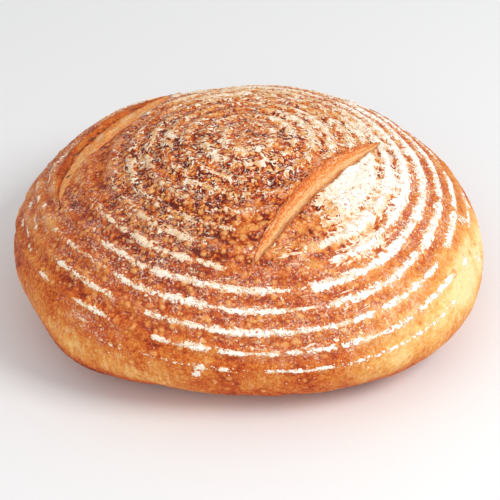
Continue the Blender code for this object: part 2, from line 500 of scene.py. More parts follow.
# Short streaks beside the slashes and low down: (angle, half width, arc, half length, strength)
streaks = (
    (-118, 4, 117.0, 1.2, 0.74),
    (-110, 4, 116.2, 1.3, 0.72),
    (-103.5, 2.5, 118.5, 1.2, 0.70),
    (-98.5, 2.0, 116.8, 1.2, 0.74),
    (-97.5, 2.0, 125.5, 1.2, 0.76),
    (-91, 2.0, 128.0, 1.2, 0.76),
    (-90, 2.0, 120.5, 1.2, 0.74),
    (-84.5, 2.0, 116.3, 1.1, 0.72),
    (-82, 2.4, 124.0, 1.2, 0.80),
    (-77.5, 1.8, 123.6, 1.1, 0.74),
    (-79.5, 2.0, 130.0, 1.0, 0.68),
    (-73, 2.2, 131.0, 1.0, 0.72),
    (-86.5, 2.0, 134.5, 1.0, 0.64),
    (-35, 3, 141.0, 0.8, 0.60),
    (-13.5, 1, 143.5, 2.6, 0.70),
    (68, 1.6, 134.0, 3.0, 0.74),
    (74, 1.4, 139.0, 3.0, 0.70),
    (88, 1.2, 141.0, 2.6, 0.72),
    (82, 2.0, 124.0, 3.0, 0.72),
    (94, 1.6, 131.0, 3.0, 0.72),
)

# Places of loose or thick flour, by ring: (angle, half width, arc, half length, strength)
dusted = (
    (70, 27, 61, 12, 1.6),
    (47, 16, 73, 11, 0.80),
    (42, 14, 85, 9, 0.64),
    (76, 24, 79, 9, 0.78),
    (112, 34, 72, 26, 0.66),
    (0, 400, 6, 7, 0.37),
    (17, 17, 24, 6, 0.52),
    (-100, 42, 18, 2.6, 0.46),
    (0, 400, 14, 34, 0.355),
    (120, 80, 38, 40, 0.48),
    (-30, 60, 40, 20, 0.36),
    (-110, 46, 48, 28, 0.39),
    (-84, 26, 62, 15, 0.41),
    (180, 60, 70, 45, 0.46),
    (-45, 45, 74, 16, 0.24),
    (15, 18, 76, 12, 0.25),
    (22, 40, 120, 18, 0.20),
    (-42, 14, 134, 12, 0.15),
    (0, 400, 100, 34, 0.15),
)


def behind(angle):
    # 1 on the side that faces away
    return 1 - smoothStep(np.abs(apart(angle, 185)), 28, 48)


def bandFlour(angle, ring, arc, points):
    # Flour held by the ridges: a bell across each ridge, its strength read from the stretches,
    # and on the far side from slow noise instead
    pitch = form["coilPitch"]
    total = np.zeros(len(angle))
    back = behind(angle)
    clumpy = 1 + 0.22 * noise(points, 5.0, 78) * smoothStep(arc, 60, 120)
    for count, stretches in floured.items():
        off = ring - form["coilStart"] - count * pitch
        for low, high, strength, halfWidth in stretches:
            middle, reach = (low + high) / 2, (high - low) / 2
            inside = 1 - smoothStep(np.abs(apart(angle, middle)), reach - 1.5, reach + 2.5)
            across = bell(off, 0, halfWidth * np.where(off < 0, 1.0, 0.8))
            total = np.maximum(total, strength * clumpy * inside * across * (1 - back))
        wild = 0.62 + 0.5 * noise(points + count * 37.0, 22.0, 80)
        total = np.maximum(total, wild * bell(off, 0, 1.9) * back * (count > 6))
    for streak in spots(streaks, angle, arc):
        total = np.maximum(total, streak)
    return total


def looseFlour(angle, ring, points):
    # thicker along the ridges, and patchy
    total = np.zeros(len(angle))
    for patch in spots(dusted, angle, ring):
        total = np.maximum(total, patch)
    ridge = coilWave(ring) * plateau(ring, 8, 80, 12)
    swirl = 0.24 + 0.11 * (1 - smoothStep(ring, 40, 62))
    patches = swirl * ridge + 0.22 * noise(points, 7.0, 83) + 0.36 * noise(points, 3.4, 84)
    return total * (1 + patches * (1 - 0.6 * smoothStep(total, 0.7, 1.1)))


plainToast = 0.49

# Places of more or less toasting: (angle, half width, arc, half length, amount)
toasted = (
    (-50, 62, 50, 32, 0.24),
    (60, 120, 30, 22, 0.12),
    (-44, 26, 70, 15, 0.17),
    (-20, 50, 68, 14, 0.05),
    (-50, 40, 98, 16, 0.04),
    (-72, 30, 56, 16, 0.06),
    (-85, 34, 24, 8, 0.13),
    (-73, 8, 114, 7, -0.14),
    (-68, 15, 97, 9, 0.13),
    (-75, 45, 23, 4.5, 0.22),
    (120, 26, 16, 3.5, 0.16),
    (-34, 42, 92, 22, 0.11),
    (32, 30, 112, 36, -0.15),
    (38, 16, 156, 12, -0.18),
    (5, 30, 100, 26, 0.08),
    (5, 26, 152, 16, 0.06),
    (-39, 22, 154, 12, -0.24),
    (-48, 15, 130, 9, 0.02),
    (65, 25, 141, 17, -0.46),
    (95, 28, 125, 20, -0.14),
    (90, 60, 45, 25, -0.06),
    (-52, 20, 168, 8, 0.30),
)


def toastAt(angle, ring, arc, points):
    # How far the crust is toasted, 0 to 1: a plain middle tone and the places above. Ridges are
    # paler and the foot is darker, and noises of four sizes mottle it
    total = np.full(len(angle), plainToast)
    for spot in spots(toasted, angle, arc):
        total += spot
    total -= 0.07 * coilWave(ring) * plateau(ring, 8, 125, 10)
    total += 0.07 * (1 - smoothStep(points[:, 2], 1.0, 6))
    total += layered(points, ((0.10, 15.0, 97), (0.07, 6.0, 98)))
    total += 0.28 * noise(points, 4.4, 99) * plateau(ring, -20, 76, 16)
    low = smoothStep(arc, 112, 135)
    total += 0.12 * noise(points, 11.0, 94) * low * (1 - 0.6 * hump(angle, -40, 24))
    return np.clip(total, 0, 1)


crust = {
    "columns": 40,  # at the top; twice as many each time the last row's reach doubles
    "rowStep": 1.05,  # over the dome
    "sideStep": 1.75,  # below the belly
    "domeArc": 158.0,
    "lumps": ((34.0, 1.1, 5), (12.0, 0.60, 6), (4.6, 0.32, 7), (2.2, 0.20, 8)),  # size, height, seed
    "rim": 1.05,  # roughness of the edge that lay on the baking surface
    # angle, half width, arc, half length, amount: where the loaf bulges or sinks on one side
    "swells": (
        (-122, 15, 131, 20, -2.6),
        (-161, 15, 114, 24, -3.2),
        (127, 22, 124, 20, -1.2),
        (66, 38, 160, 24, 1.5),
        (-47, 9, 171, 18, 3.0),
        (-67, 8, 160, 16, -2.0),
        (-92, 9, 145, 18, 1.0),
        (3, 17, 168, 14, 0.9),
        (-23, 7, 170, 12, -1.3),
    ),
    "ridgeWander": 1.1,
    "bandWander": 0.8,  # the flour wanders a little less than the ridges do
    "wanderNoise": (26.0, 21),  # size, seed
    "baseRings": 16,
    "baseHalveAt": 0.55,  # a base ring has half as many places once it is this much shorter
    "baseFewest": 24,
    "baseLift": 0.35,
    "baseRough": (0.35, 9.0, 90),  # height, size, seed
    "baseHollow": (0.5, 40.0),  # height, half width
    "baseMiddle": 0.4,
    "margin": (0.3, 0.3, 0.5),  # kept free inside the solid's box
}

# The crust and the flour are both laid in rows
rowing = {
    "widestShare": 0.8,  # rows get no more places past this share of the dome
    "doubleAt": 1.32,  # row steps between places, at which a row doubles them
    "mostDoublings": 4,
}


def ridgeHeight(angle, ring, points):
    # Ridges at equal steps, which wander and swell a little, and fade at the top and the belly
    pitch = form["coilPitch"]
    wandered = ring + crust["ridgeWander"] * noise(points, *crust["wanderNoise"])
    inner = np.clip(ring / (2 * pitch), 0, 1)
    outer = np.clip(form["coilCount"] + 0.6 - ring / pitch, 0, 1)
    swell = 1 + 0.35 * noise(points, 17.0, 22)
    wave = coilWave(wandered)
    return form["coilRelief"] / 2 * (wave + 0.25 * wave**2) * inner * outer * swell


def crustField(angle, step):
    # Everything that the crust has at each place, as named arrays
    points = smoothPoint(angle, step)
    normals = smoothNormal(angle, step)
    arc = arcAt(angle, step)
    ring = ringAt(angle, arc)
    field = {"arc": arc, "ring": ring, "smooth": points, "up": normals}
    rise = ridgeHeight(angle, ring, points)
    for size, height, seed in crust["lumps"]:
        rise += height / 2 * noise(points, size, seed)
    for swell in spots(crust["swells"], angle, arc):
        rise += swell
    cut = np.full(len(angle), 9.0)
    cutAcross = np.full(len(angle), 9.0)
    cutAlong = np.zeros(len(angle))
    cutSide = np.zeros(len(angle))
    for name, slash in slashes.items():
        depth, lip, place, along = slashShape(slash, points)
        inside = np.clip(1.1 - np.abs(place), 0, 1)
        rise = rise * (1 - 0.75 * smoothStep(inside, 0, 0.3)) - depth + lip
        nearer = np.abs(place) < cut
        cutAcross = np.where(nearer, place, cutAcross)
        cutAlong = np.where(nearer, along * slash["length"], cutAlong)
        cutSide = np.where(nearer, float(name == "left"), cutSide)
        cut = np.minimum(cut, np.abs(place))
    pit = holeShape(points)
    rise -= pit
    dome = blisterDomes(points, angle, ring)
    dome = np.maximum(dome, largeBlisters(points)) * smoothStep(cut, 0.9, 1.3)
    rise += blisters["height"] * dome
    flat = smoothStep(points[:, 2], 0, 6)
    rise *= 0.45 + 0.55 * flat
    edge = bell(points[:, 2], 4.0, 4.0) * (0.45 + hump(angle, -52, 24) + 0.8 * hump(angle, 64, 16))
    rise += crust["rim"] * edge * (noise(points, 2.4, 95) + 0.6 * noise(points, 6.0, 96) - 0.4)
    field["points"] = points + normals * rise[:, None]
    field["blister"] = dome
    field["pit"] = pit
    field["cut"] = np.stack((cutAcross, cutAlong, cutSide), axis=1)
    field["cutGap"] = cut
    wandered = ring + crust["bandWander"] * noise(points, *crust["wanderNoise"])
    band = bandFlour(angle, wandered, arc, points)
    loose = looseFlour(angle, ring, points)
    outside = smoothStep(cut, 0.96, 1.12)
    field["band"] = band * outside
    field["loose"] = loose * outside
    field["toast"] = toastAt(angle, ring, arc, points)
    field["bubbly"] = blisterShare(angle, ring) * outside
    turn = np.radians(angle)
    field["flow"] = np.stack((arc, 26 * np.sin(turn), 26 * np.cos(turn)), axis=1)
    return field


def rowLayout(rowStep, sideStep, columns, domeArc, fromArc=0.0):
    # Rows of the crust as (profile step, columns): the columns double as the rows grow
    total = levelArcs[np.abs(shareLevels).argmin(), -1]
    dome = np.arange(max(rowStep, fromArc), domeArc, rowStep)
    side = np.linspace(dome[-1], total, int(round((total - dome[-1]) / sideStep)) + 1)[1:]
    rows = []
    for arc in np.concatenate((dome, side)):
        around = 2 * math.pi * min(arc, domeArc * rowing["widestShare"])
        wanted = around / (rowing["doubleAt"] * rowStep * columns)
        doublings = min(max(0, math.ceil(math.log2(wanted))), rowing["mostDoublings"])
        count = max(columns * 2**doublings, rows[-1][1] if rows else 0)
        rows.append((arc / total * stepCount, count))
    return rows


def layRows(rows):
    # angle and profile step of every place in the rows, and where each row starts
    counts = np.array([count for _, count in rows])
    starts = np.concatenate(([0], np.cumsum(counts)))
    angle = np.concatenate([np.arange(count) * 360 / count for count in counts])
    step = np.repeat([row for row, _ in rows], counts)
    return angle, step, starts, counts


def stitch(first, firstCount, second, secondCount):
    # Faces between two rings of places, the first nearer the top: quads where they have as many
    # places, and three triangles to a cell where one has twice as many
    few = min(firstCount, secondCount)
    here = np.arange(few)
    after = (here + 1) % few
    if firstCount == secondCount:
        quads = np.stack((first + here, second + here, second + after, first + after), axis=1)
        return quads, np.zeros((0, 3), int)
    many = 2 * few
    start, half, end = 2 * here, 2 * here + 1, (2 * here + 2) % many
    if firstCount < secondCount:
        near, nearAfter = first + here, first + after
        fan = ((near, second + start, second + half), (near, second + half, nearAfter),
               (nearAfter, second + half, second + end))
    else:
        near, nearAfter = second + here, second + after
        fan = ((first + start, near, first + half), (first + half, near, nearAfter),
               (first + half, nearAfter, first + end))
    return np.zeros((0, 4), int), np.concatenate([np.stack(three, axis=1) for three in fan])


def makeMesh(name, points, quads, triangles=None):
    # points in metres; quads and triangles as arrays of point numbers
    triangles = np.zeros((0, 3), int) if triangles is None else triangles
    corners = np.concatenate((quads.ravel(), triangles.ravel())).astype(np.int32)
    sizes = np.repeat((4, 3), (len(quads), len(triangles))).astype(np.int32)
    mesh = bpy.data.meshes.new(name)
    mesh.vertices.add(len(points))
    mesh.vertices.foreach_set("co", points.astype(np.float32).ravel())
    mesh.loops.add(len(corners))
    mesh.loops.foreach_set("vertex_index", corners)
    mesh.polygons.add(len(sizes))
    mesh.polygons.foreach_set("loop_start", (np.cumsum(sizes) - sizes).astype(np.int32))
    mesh.update(calc_edges=True)
    mesh.polygons.foreach_set("use_smooth", np.ones(len(sizes), bool))
    return mesh


def addPiece(name, mesh, material):
    # a finished mesh as an object at the origin, carried by the loaf's own body
    piece = bpy.data.objects.new(name, mesh)
    bpy.context.scene.collection.objects.link(piece)
    mesh.materials.append(material)
    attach(piece, "root")
    return piece


def setAttribute(mesh, name, values):
    # one number, or three, for each point of the mesh
    kind, key = ("FLOAT", "value") if values.ndim == 1 else ("FLOAT_VECTOR", "vector")
    attribute = mesh.attributes.new(name, kind, "POINT")
    attribute.data.foreach_set(key, values.astype(np.float32).ravel())


def fitToFrame(points):
    # one scale and a shift that set the crust's own box inside the solid's, on its base
    low, high = points.min(axis=0), points.max(axis=0)
    boxLow, boxHigh = np.array(loafLow) / toMetres, np.array(loafHigh) / toMetres
    scale = min((boxHigh - boxLow - crust["margin"]) / (high - low))
    print("fit: scale", round(float(scale), 4))
    middle = (low + high) / 2
    target = (boxLow + boxHigh) / 2
    shift = target - middle * scale
    shift[2] = boxLow[2] - low[2] * scale
    return scale, shift


def baseRings(edge, fullCount):
    # Rings of places from the edge to the middle of the base, each the edge drawn in by its
    # share. The base is hollow and a little rough, and lies just above the lowest edge
    middle = edge.mean(axis=0)
    rings, counts = [], [fullCount]
    for share in np.linspace(1, 0, crust["baseRings"] + 1)[1:-1]:
        many = counts[-1]
        if fullCount * share < crust["baseHalveAt"] * many and many > crust["baseFewest"]:
            many = many // 2
        counts.append(many)
        rings.append(middle + (edge[:: fullCount // many] - middle) * share)
    base = np.concatenate(rings)
    rough, size, seed = crust["baseRough"]
    hollow, halfWidth = crust["baseHollow"]
    out = np.hypot(*(base - middle)[:, :2].T)
    lift = crust["baseLift"] + rough * roughNoise(base, size, seed) + hollow * bell(out, 0, halfWidth)
    base[:, 2] = np.maximum(edge[:, 2].min(), 0) + np.maximum(lift, 0)
    return base, counts[1:], middle[None] + (0, 0, crust["baseMiddle"])


def buildCrust(material):
    # the rows from the top to the base's edge, the base, and one point to close each end
    rows = rowLayout(crust["rowStep"], crust["sideStep"], crust["columns"], crust["domeArc"])
    angle, step, starts, counts = layRows(rows)
    field = crustField(angle, step)
    points = field["points"]
    base, baseCounts, baseMiddlePoint = baseRings(points[starts[-2]:starts[-1]], counts[-1])
    # the top point stands as far over the smooth top as the first row does over its own
    first = slice(0, counts[0])
    risen = points[first, 2].mean() - smoothPoint(angle[first], step[first])[:, 2].mean()
    top = smoothPoint(np.zeros(1), np.zeros(1)) + (0, 0, risen)
    everything = np.concatenate((points, base, top, baseMiddlePoint))
    topNumber, baseNumber = len(everything) - 2, len(everything) - 1

    ringCounts = np.concatenate((counts, baseCounts))
    ringStarts = np.concatenate(([0], np.cumsum(ringCounts)[:-1]))
    quads, triangles = [], []
    for row in range(len(ringCounts) - 1):
        four, three = stitch(ringStarts[row], ringCounts[row], ringStarts[row + 1], ringCounts[row + 1])
        quads.append(four)
        triangles.append(three)
    here = np.arange(ringCounts[0])
    triangles.append(np.stack((np.full(len(here), topNumber), here, np.roll(here, -1)), axis=1))
    here = ringStarts[-1] + np.arange(ringCounts[-1])
    triangles.append(np.stack((here, np.full(len(here), baseNumber), np.roll(here, -1)), axis=1))
    quads, triangles = np.concatenate(quads), np.concatenate(triangles)
    scale, shift = fitToFrame(everything)
    mesh = makeMesh("crust", (everything * scale + shift) * toMetres, quads, triangles)

    # what the material reads, and the plain value that the base has
    field["flow"] = field["flow"] * toMetres
    plain = {
        "band": 0.0, "loose": 0.0, "toast": 0.72, "blister": 0.0, "bubbly": 0.0, "pit": 0.0,
        "ring": 200.0, "flow": 0.0, "cut": 9.0, "cutGap": 9.0,
    }
    for name, value in plain.items():
        values = field[name]
        extra = np.full((len(everything) - len(points),) + values.shape[1:], value)
        whole = np.concatenate((values, extra))
        whole[topNumber] = values[0]
        setAttribute(mesh, name, whole)
    piece = addPiece("crust", mesh, material)
    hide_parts("loaf")
    print("crust:", 2 * len(quads) + len(triangles), "triangles")
    return scale, shift


flour = {
    "rowStep": 0.56,
    "sideStep": 1.0,
    "columns": 64,
    "fromArc": 48.0,
    "toArc": 150.0,
    "toMargin": 1.07,  # the rows go on a little past it
    "domeArc": 158.0,
    "thickness": 0.36,
    "thickenOver": 0.30,  # strength past the threshold over which it thickens
    "least": 0.03,
    "tuck": 0.22,  # how far it dips under the crust at its edge
    "sole": 0.1,  # its under side lies this much deeper still
    "threshold": 0.56,
    "bandGain": 1.02,
    "looseFrom": 0.34,
    "looseMost": 0.95,
    "ragged": ((0.80, 1.1, 41), (0.74, 2.3, 42), (0.50, 6.0, 43)),  # amount, size, seed
    "clots": ((0.20, 1.3, 44), (0.10, 2.6, 45)),
    "clotShare": 1.6,
}


def flourHeight(field):
    # Height of the flour over the crust: it stands where the band strength and three noises
    # together pass the threshold, thickens quickly inwards, and has a clotted top
    points = field["smooth"]
    ragged = layered(points, flour["ragged"])
    loose = np.clip(field["loose"] - flour["looseFrom"], 0, flour["looseMost"])
    solid = np.maximum(field["band"] * flour["bandGain"], loose)
    over = solid + ragged * smoothStep(solid, 0.02, 0.25) - flour["threshold"]
    clots = layered(points, flour["clots"])
    full = 1 - np.exp(-np.maximum(over, 0) / flour["thickenOver"])
    height = flour["thickness"] * full * (1 + flour["clotShare"] * clots)
    bare = np.maximum(over * 1.5, -flour["tuck"])
    return np.where(over > 0, np.maximum(height, flour["least"]), bare), over


def closeSheet(points, under, quads):
    # a sheet of quads made a closed shell: its under side, and a rim along every open edge
    used, index = np.unique(quads, return_inverse=True)
    quads = index.reshape(-1, 4)
    count = len(used)
    edges = np.concatenate([quads[:, (n, (n + 1) % 4)] for n in range(4)])
    keys = edges.min(axis=1) * count + edges.max(axis=1)
    _, first, times = np.unique(keys, return_index=True, return_counts=True)
    rim = edges[first[times == 1]]
    sides = np.stack((rim[:, 1], rim[:, 0], rim[:, 0] + count, rim[:, 1] + count), axis=1)
    faces = np.concatenate((quads, quads[:, ::-1] + count, sides))
    return np.concatenate((points[used], under[used])), faces, used


def chalkAt(angle, arc, strength):
    # how white the flour is: browned on the crown and the left, clean on the right and low down
    clean = 0.15 + 0.75 * smoothStep(arc, 62, 105)
    clean -= 0.25 * hump(angle, -70, 40) * smoothStep(arc, 60, 100)
    clean += 1.0 * hump(angle, 75, 48) * smoothStep(arc, 30, 56)
    return np.clip(clean * (0.7 + 0.3 * strength), 0, 1)


def buildFlour(material, scale, shift):
    # Rows as the crust has, but finer. Only quads with flour at a corner stay; they lie on the
    # crust by the flour's height and are closed with an under side
    rows = rowLayout(flour["rowStep"], flour["sideStep"], flour["columns"], flour["domeArc"],
                     flour["fromArc"])
    last = stepAt(np.zeros(1), np.array((flour["toArc"],)))[0] * flour["toMargin"]
    rows = [row for row in rows if row[0] < last]
    angle, step, starts, counts = layRows(rows)
    field = crustField(angle, step)
    height, over = flourHeight(field)
    quads = []
    for row in range(len(counts) - 1):
        four, _ = stitch(starts[row], counts[row], starts[row + 1], counts[row + 1])
        quads.append(four)
    quads = np.concatenate(quads)
    quads = quads[(over[quads] > 0).any(axis=1)]
    top = field["points"] + field["up"] * height[:, None]
    under = field["points"] - field["up"] * (flour["tuck"] + flour["sole"])
    points, faces, used = closeSheet(top, under, quads)
    mesh = makeMesh("flour", (points * scale + shift) * toMetres, faces)
    chalk = chalkAt(angle, field["arc"], field["band"])[used]
    setAttribute(mesh, "chalk", np.concatenate((chalk, chalk)))
    setAttribute(mesh, "thick", np.concatenate((over[used], over[used])))
    addPiece("flour", mesh, material)
    print("flour:", 2 * len(faces), "triangles")


grains = {
    "count": 7500,
    "tries": 120000,
    "reach": 152.0,  # the way over the crust on which they lie
    "innerShare": 0.03,  # share of that area left out at the top
    "chance": (0.85, 0.20, 0.003),  # on band flour, on loose flour, anywhere
    "radius": (0.16, 0.46),
    "smallness": 2.2,  # higher for more small ones
    "dents": (0.75, 1.25),
    "lengths": (0.9, 1.7),
    "flatness": 0.5,
    "raised": 0.15,  # share of the radius
    "chalk": (0.7, 1.1),
    "thick": 0.6,
    "seed": 12,
}


def grainShape():
    # A ball of 20 faces: its corners are those of three crossed golden rectangles, and each
    # face joins three that are near each other
    golden = (1 + math.sqrt(5)) / 2
    corners = [(a, b * golden, 0) for a in (-1, 1) for b in (-1, 1)]
    corners += [(0, a, b * golden) for a in (-1, 1) for b in (-1, 1)]
    corners += [(b * golden, 0, a) for a in (-1, 1) for b in (-1, 1)]
    corners = np.array(corners) / math.hypot(1, golden)
    near = np.linalg.norm(corners[:, None] - corners, axis=2) < 1.2
    faces = [(a, b, c) for a in range(12) for b in range(a + 1, 12) for c in range(b + 1, 12)
             if near[a, b] and near[b, c] and near[a, c]]
    faces = np.array(faces)
    first, second, third = np.swapaxes(corners[faces], 0, 1)
    inward = (np.cross(second - first, third - first) * first).sum(axis=1) < 0
    faces[inward] = faces[inward][:, ::-1]
    return corners, faces


def buildGrains(material, scale, shift):
    # Loose clumps of flour. A place keeps its grain more often where flour lies or once lay, and
    # each grain is a flattened ball with its own turn, lengths and dents.
    dice = np.random.default_rng(grains["seed"])
    tries = grains["tries"]
    angle = dice.uniform(-180, 180, tries)
    arc = grains["reach"] * np.sqrt(dice.uniform(grains["innerShare"], 1, tries))
    step = stepAt(angle, arc)
    field = crustField(angle, step)
    onBand, onLoose, anywhere = grains["chance"]
    likely = onBand * np.clip(field["band"], 0, 1) + onLoose * np.clip(field["loose"], 0, 0.7) + anywhere
    likely *= smoothStep(field["cutGap"], 1.0, 1.15)
    kept = np.flatnonzero(dice.uniform(0, 1, tries) < likely)[: grains["count"]]
    count = len(kept)
    up = field["up"][kept]
    aside = unit(np.cross(up, (0.0, 0.0, 1.0)) + (1e-6, 0, 0))
    down = np.cross(up, aside)
    turn = dice.uniform(0, 2 * math.pi, count)[:, None]
    first = aside * np.cos(turn) + down * np.sin(turn)
    second = down * np.cos(turn) - aside * np.sin(turn)
    low, high = grains["radius"]
    radius = low + (high - low) * dice.uniform(0, 1, count) ** grains["smallness"]
    corners, faces = grainShape()
    local = corners * dice.uniform(*grains["dents"], (count, len(corners), 1))
    local[..., 0] *= dice.uniform(*grains["lengths"], (count, 1))
    local[..., 2] *= grains["flatness"]
    local *= radius[:, None, None]
    middle = field["points"][kept] + up * radius[:, None] * grains["raised"]
    points = (local[..., 0:1] * first[:, None] + local[..., 1:2] * second[:, None]
              + local[..., 2:3] * up[:, None] + middle[:, None])
    allFaces = (faces + len(corners) * np.arange(count)[:, None, None]).reshape(-1, 3)
    mesh = makeMesh("flourGrains", (points.reshape(-1, 3) * scale + shift) * toMetres,
                    np.zeros((0, 4), int), allFaces)
    chalk = chalkAt(angle[kept], arc[kept], field["band"][kept])
    chalk = chalk * dice.uniform(*grains["chalk"], count)
    setAttribute(mesh, "chalk", np.repeat(chalk, len(corners)))
    setAttribute(mesh, "thick", np.full(count * len(corners), grains["thick"]))
    addPiece("flourGrains", mesh, material)
    print("flour grains:", count, "of", len(faces), "faces")


def putValue(tree, socket, value):
    # a link where the value is another node's output, and else a plain value
    if isinstance(value, bpy.types.NodeSocket):
        tree.links.new(value, socket)
    elif value is not None:
        socket.default_value = value


def addNode(tree, kind, inputs=None, **settings):
    # one node, its settings, and its inputs by name or number
    node = tree.nodes.new(kind)
    for key, value in settings.items():
        setattr(node, key, value)
    for key, value in (inputs or {}).items():
        putValue(tree, node.inputs[key], value)
    return node


def calculate(tree, operation, *values, clamp=False):
    # a Math node's result
    node = addNode(tree, "ShaderNodeMath", dict(enumerate(values)), operation=operation, use_clamp=clamp)
    return node.outputs[0]


def times(tree, first, second):
    return calculate(tree, "MULTIPLY", first, second)


def timesPlus(tree, first, second, added):
    # first times second, plus the third
    return calculate(tree, "MULTIPLY_ADD", first, second, added)


def larger(tree, first, second):
    return calculate(tree, "MAXIMUM", first, second)


def between(tree, value, low, high, lowOut=0.0, highOut=1.0):
    # lowOut at low, highOut at high, and a soft S between them
    node = addNode(tree, "ShaderNodeMapRange", interpolation_type="SMOOTHSTEP")
    for key, number in (("Value", value), ("From Min", low), ("From Max", high),
                        ("To Min", lowOut), ("To Max", highOut)):
        putValue(tree, node.inputs[key], number)
    return node.outputs["Result"]


def mixColors(tree, share, first, second):
    # the first colour at share 0 and the second at 1
    node = addNode(tree, "ShaderNodeMix", data_type="RGBA", blend_type="MIX")
    for key, value in ((0, share), (6, first), (7, second)):
        putValue(tree, node.inputs[key], value)
    return node.outputs[2]


def linear(color):
    # a display colour, 0 to 255, as scene light
    share = np.array(color) / 255
    share = np.where(share <= 0.04045, share / 12.92, ((share + 0.055) / 1.055) ** 2.4)
    return (*share, 1.0)


def paint(tree, share, under, color):
    # a display colour laid over what is under it
    return mixColors(tree, share, under, linear(color))


def colorRamp(tree, value, stops):
    # display colours at their places from 0 to 1
    node = addNode(tree, "ShaderNodeValToRGB", {"Fac": value})
    ramp = node.color_ramp
    while len(ramp.elements) < len(stops):
        ramp.elements.new(0.5)
    for element, (place, color) in zip(ramp.elements, stops):
        element.position = place
        element.color = linear(color)
    return node.outputs["Color"]


def noiseValue(tree, vector, scale, detail=2.0, roughness=0.55, distortion=0.0):
    # Blender's own noise, about 0.3 to 0.7
    node = addNode(tree, "ShaderNodeTexNoise", {
        "Vector": vector, "Scale": scale, "Detail": detail, "Roughness": roughness,
        "Distortion": distortion,
    })
    return node.outputs["Fac"]


def objectPlace(tree):
    return addNode(tree, "ShaderNodeTexCoord").outputs["Object"]


def attributeValue(tree, name, output="Fac"):
    # a number, or a Vector, that was set for each point of the mesh
    return addNode(tree, "ShaderNodeAttribute", attribute_name=name).outputs[output]


def newGroup(name, inputs, outputs):
    # an empty node group with named inputs, their plain values, and named outputs
    tree = bpy.data.node_groups.new(name, "ShaderNodeTree")
    for label, kind, value in inputs:
        socket = tree.interface.new_socket(label, in_out="INPUT", socket_type="NodeSocket" + kind)
        if value is not None:
            socket.default_value = value
    for label, kind in outputs:
        tree.interface.new_socket(label, in_out="OUTPUT", socket_type="NodeSocket" + kind)
    return tree, tree.nodes.new("NodeGroupInput").outputs, tree.nodes.new("NodeGroupOutput").inputs


def placeGroup(tree, group, inputs):
    # a node group placed in a material with its own values
    node = addNode(tree, "ShaderNodeGroup", node_tree=group)
    for key, value in inputs.items():
        putValue(tree, node.inputs[key], value)
    return node.outputs


def speckleGroup():
    # Grains that cover a given share of the surface, with ragged edges: rough noise cut off at
    # the level that leaves this share over it. "Beside" also takes in a narrow border of them, where the
    # crust paints shadow
    tree, given, made = newGroup("speckle", (
        ("Vector", "Vector", None), ("Cover", "Float", 0.5), ("Scale", "Float", 600.0),
        ("Edge", "Float", 0.03),
    ), (("Mask", "Float"), ("Beside", "Float")))
    clots = noiseValue(tree, given["Vector"], given["Scale"], 1.6, 0.6, 0.6)
    level = timesPlus(tree, given["Cover"], -0.48, 0.74)
    low = calculate(tree, "SUBTRACT", level, given["Edge"])
    high = calculate(tree, "ADD", level, given["Edge"])
    tree.links.new(between(tree, clots, low, high), made["Mask"])
    near = calculate(tree, "SUBTRACT", level, 0.05)
    tree.links.new(between(tree, clots, near, low), made["Beside"])
    return tree


bakedTones = (
    (0.00, (252, 220, 162)),
    (0.14, (245, 190, 112)),
    (0.28, (230, 154, 74)),
    (0.42, (216, 120, 50)),
    (0.54, (200, 90, 38)),
    (0.68, (164, 62, 28)),
    (0.84, (122, 42, 28)),
    (1.00, (96, 34, 28)),
)


def bakedGroup():
    # Crust colour from pale gold over orange and red-brown to dark. Mottling in two sizes moves
    # the toasting up and down, and more so where it is dark
    tree, given, made = newGroup("baked", (
        ("Vector", "Vector", None), ("Toast", "Float", 0.5), ("Mottle", "Float", 0.5),
        ("Scale", "Float", 300.0), ("Grain", "Float", 0.3),
    ), (("Color", "Color"), ("Depth", "Float")))
    broad = noiseValue(tree, given["Vector"], given["Scale"], 2.0, 0.6, 0.4)
    fine = noiseValue(tree, given["Vector"], times(tree, given["Scale"], 2.4), 1.0, 0.6)
    spotted = timesPlus(tree, broad, 0.65, times(tree, fine, 0.35))
    toasty = calculate(tree, "POWER", given["Toast"], 3.0)
    swing = times(tree, given["Mottle"], timesPlus(tree, toasty, 3.4, 0.45))
    moved = times(tree, calculate(tree, "SUBTRACT", spotted, 0.5), swing)
    grain = calculate(tree, "SUBTRACT", noiseValue(tree, given["Vector"], 1050.0, 1.0, 0.7), 0.5)
    moved = timesPlus(tree, grain, given["Grain"], moved)
    depth = calculate(tree, "ADD", given["Toast"], moved)
    tree.links.new(colorRamp(tree, depth, bakedTones), made["Color"])
    tree.links.new(depth, made["Depth"])
    return tree


def bubbleGroup():
    # Small round blisters round scattered cell centres, in a share of the cells: by the distance from
    # the centre a flat-topped dome, a core that rises to the middle and places the painted highlight,
    # and a ring round the foot where shade is painted
    tree, given, made = newGroup("bubble", (
        ("Vector", "Vector", None), ("Chance", "Float", 0.5), ("Scale", "Float", 320.0),
        ("Size", "Float", 0.45),
    ), (("Dome", "Float"), ("Core", "Float"), ("FootShade", "Float")))
    cells = addNode(tree, "ShaderNodeTexVoronoi", {
        "Vector": given["Vector"], "Scale": given["Scale"], "Randomness": 1.0,
    })
    draw = addNode(tree, "ShaderNodeSeparateXYZ", {0: cells.outputs["Color"]}).outputs[0]
    kept = between(tree, calculate(tree, "SUBTRACT", given["Chance"], draw), -0.02, 0.02)
    away = calculate(tree, "DIVIDE", cells.outputs["Distance"], given["Size"])
    dome = times(tree, between(tree, away, 1.0, 0.45), kept)
    core = times(tree, between(tree, away, 0.95, 0.05), kept)
    footShade = times(tree, between(tree, away, 1.45, 1.0), kept)
    footShade = calculate(tree, "SUBTRACT", footShade, between(tree, away, 1.05, 0.8), clamp=True)
    tree.links.new(dome, made["Dome"])
    tree.links.new(core, made["Core"])
    tree.links.new(footShade, made["FootShade"])
    return tree


